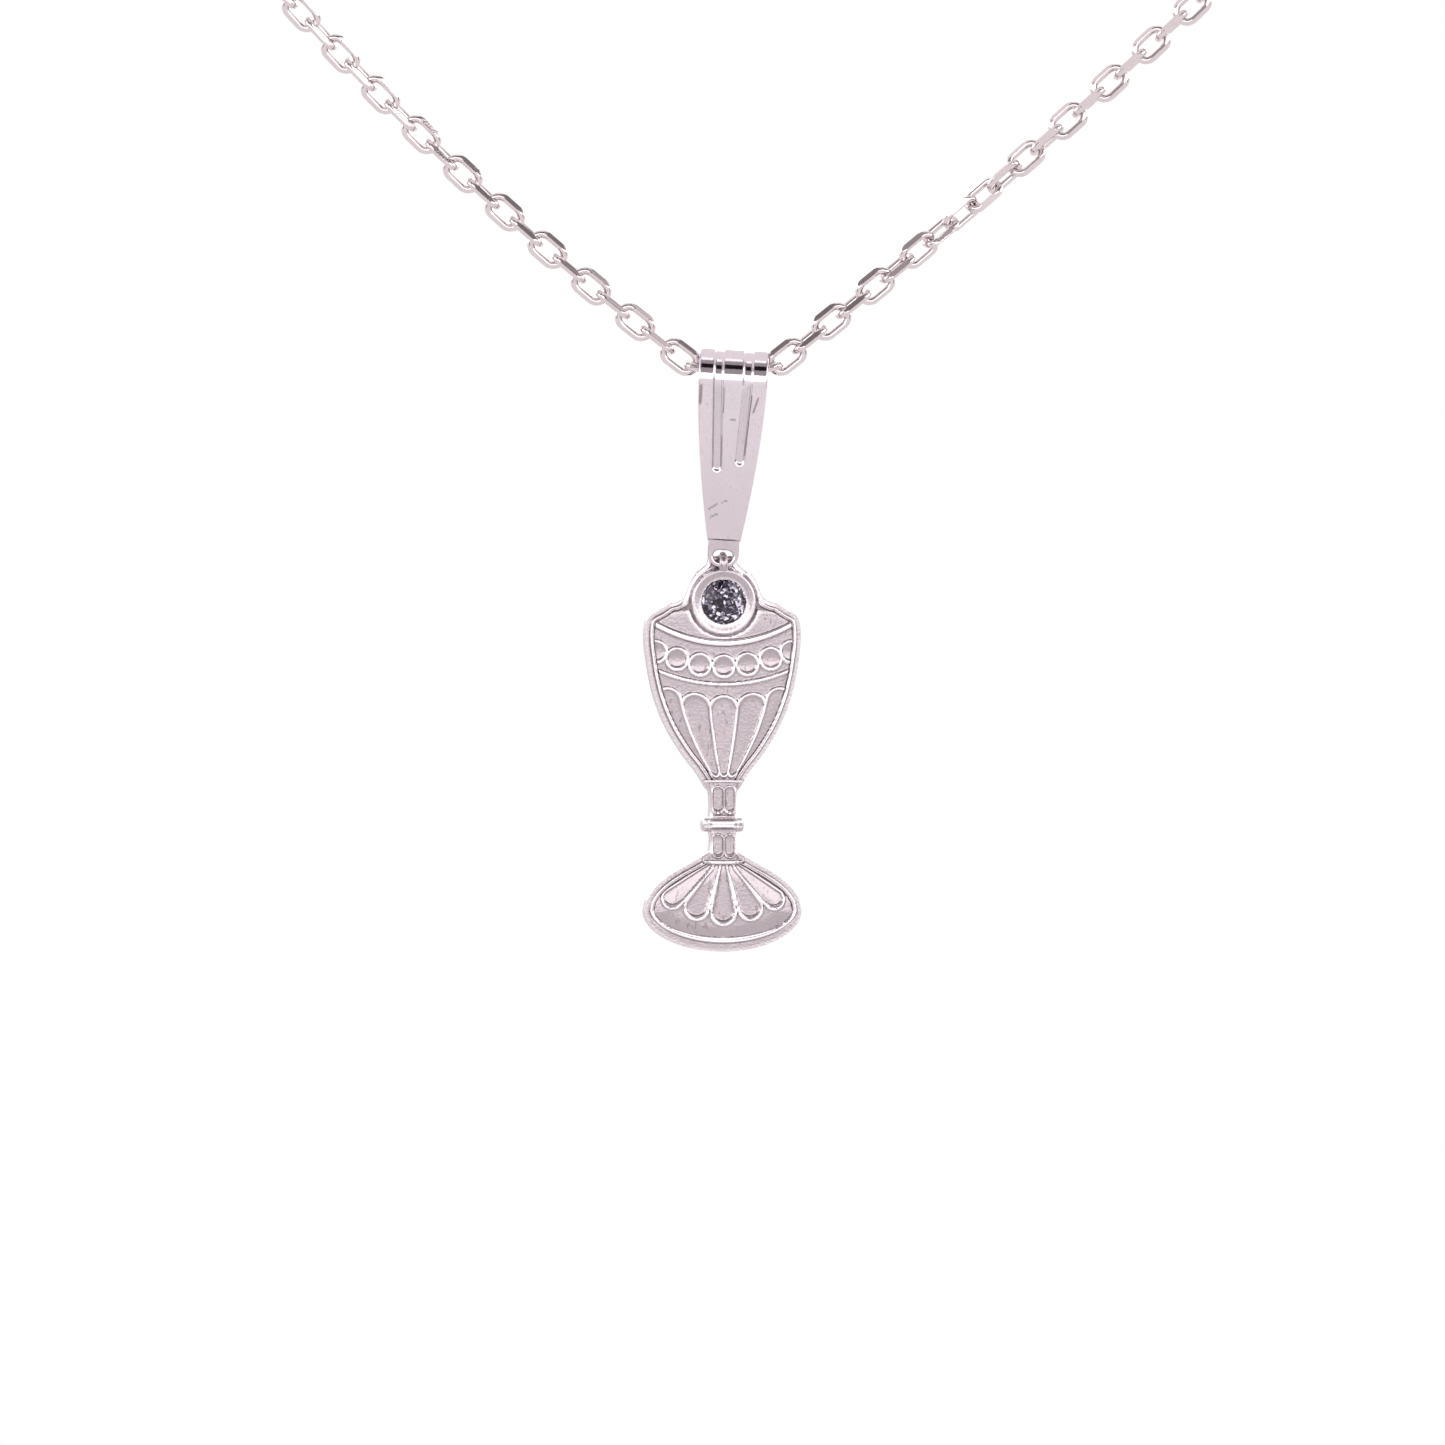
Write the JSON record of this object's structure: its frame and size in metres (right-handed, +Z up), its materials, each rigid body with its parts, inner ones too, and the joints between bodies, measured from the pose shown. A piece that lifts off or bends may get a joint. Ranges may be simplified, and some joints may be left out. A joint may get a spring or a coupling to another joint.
{
  "type": "chalice pendant on chain",
  "caption": "Small silver chalice pendant with a round stone host above the cup, hanging by a fold-over bail from a faceted cable chain with a spring-ring clasp.",
  "frame": {"origin": "midway between the places where the chain's two upper ends are held, at the top of the chain's V", "axes": "+Z up, the relief faces -Y, +X runs from the clasp's side of the chain to the plain ring's side"},
  "size_m": [0.0573, 0.0036, 0.0563],
  "materials": {
    "silver": "polished sterling silver with fine handling scratches",
    "stone": "faceted smoky grey stone",
    "spring_steel": "bare spring wire"
  },
  "bodies": {
    "chain": {"chain_link_01": "silver", "chain_link_02": "silver", "chain_link_03": "silver", "chain_link_04": "silver", "chain_link_05": "silver", "chain_link_06": "silver", "chain_link_07": "silver", "chain_link_08": "silver", "chain_link_09": "silver", "chain_link_10": "silver", "chain_link_11": "silver", "chain_link_12": "silver", "chain_link_13": "silver", "chain_link_14": "silver", "chain_link_15": "silver", "chain_link_16": "silver", "chain_link_17": "silver", "chain_link_18": "silver", "chain_link_19": "silver", "chain_link_20": "silver", "chain_link_21": "silver", "chain_link_22": "silver", "chain_link_23": "silver", "chain_link_24": "silver", "chain_link_25": "silver", "chain_link_26": "silver", "chain_link_27": "silver", "chain_link_28": "silver", "chain_link_29": "silver", "chain_link_30": "silver", "chain_link_31": "silver", "chain_link_32": "silver", "chain_link_33": "silver", "chain_link_34": "silver", "chain_link_35": "silver", "chain_link_36": "silver", "chain_link_37": "silver", "chain_link_38": "silver", "chain_link_39": "silver", "chain_link_40": "silver", "chain_link_41": "silver", "chain_link_42": "silver", "chain_link_43": "silver", "chain_link_44": "silver", "chain_link_45": "silver", "clasp_jump_ring": "silver", "end_ring": "silver", "clasp_case": "silver", "clasp_tab": "silver", "clasp_spring": "spring_steel"},
    "bail": {"bail": "silver", "bail_eyelet": "silver"},
    "medal": {"chalice_medal": "silver", "host_stone": "stone"},
    "clasp_bolt": {"clasp_bolt": "silver"}
  },
  "joints": [
    {"name": "bail_swing", "type": "hinge", "parent": "chain", "child": "bail", "pos_m": [0.00056, 0, -0.01895], "axis": [0.9886, -0.1392, -0.0571], "range_deg": [-90, 90]},
    {"name": "medal_swing", "type": "hinge", "parent": "bail", "child": "medal", "pos_m": [0, 0, -0.02864], "axis": [0, 1, 0], "range_deg": [-25, 25]},
    {"name": "clasp_open", "type": "hinge", "parent": "chain", "child": "clasp_bolt", "pos_m": [-0.02728, 0.00037, 0.00564], "axis": [0, -1, 0], "range_deg": [0, 40], "stiffness_Nm_per_rad": 0.001, "springref_deg": -17.19}
  ]
}
